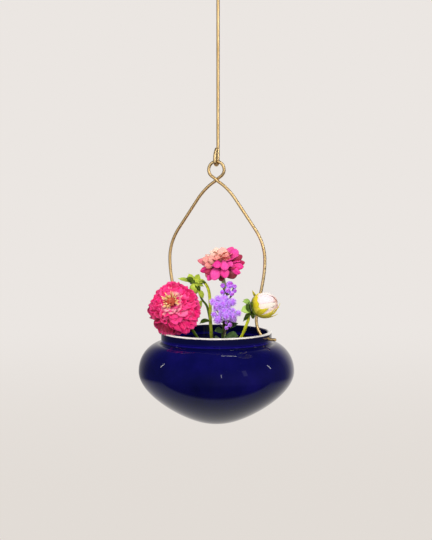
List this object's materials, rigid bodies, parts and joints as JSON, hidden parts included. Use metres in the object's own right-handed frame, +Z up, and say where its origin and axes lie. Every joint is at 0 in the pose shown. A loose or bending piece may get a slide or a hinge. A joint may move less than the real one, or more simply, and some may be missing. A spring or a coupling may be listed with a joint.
{
  "type": "hanging planter",
  "caption": "Round glazed bowl with a collar neck, held in a bent brass wire bail that hangs from a straight brass rod with a hook, planted with garden flowers.",
  "frame": {"origin": "inside top of the rod's hook, where it bears on whatever holds it up", "axes": "+Z up along the rod, +X along the bail's width through the bowl's two neck holes"},
  "size_m": [0.1528, 0.1528, 0.4467],
  "materials": {
    "brass": "satin",
    "glaze": "gloss",
    "potting_mix": "matte",
    "stem_dark": "matte",
    "stem_lime": "matte",
    "petal_pink": "matte",
    "petal_salmon": "matte",
    "disk_orange": "matte",
    "floss_lilac": "matte",
    "bud_cream": "matte",
    "sepal_yellow_green": "matte"
  },
  "bodies": {
    "hanger": {"hanger_rod": "brass"},
    "bail": {"bail_wire": "brass"},
    "bowl": {"bowl": "glaze", "potting_mix": "potting_mix", "zinnia_stem": "stem_dark", "top_bloom_stem": "stem_dark", "bud_stem": "stem_lime", "dahlia_stem": "stem_lime", "floss_stem": "stem_dark", "zinnia_petals": "petal_pink", "zinnia_disk": "disk_orange", "top_bloom_petals": "petal_salmon", "green_bud": "stem_lime", "dahlia_sepals": "sepal_yellow_green", "dahlia_bud": "bud_cream", "floss_top_buds": "floss_lilac", "floss_tufts": "floss_lilac", "floss_low_buds": "floss_lilac"}
  },
  "joints": [
    {"name": "bail_swing", "type": "hinge", "parent": "hanger", "child": "bail", "pos_m": [0, 0, -0.1916], "axis": [0, 1, 0], "range_deg": [-45, 45]},
    {"name": "bowl_tilt", "type": "hinge", "parent": "bail", "child": "bowl", "pos_m": [0, 0, -0.3575], "axis": [1, 0, 0], "range_deg": [-18, 40]}
  ]
}
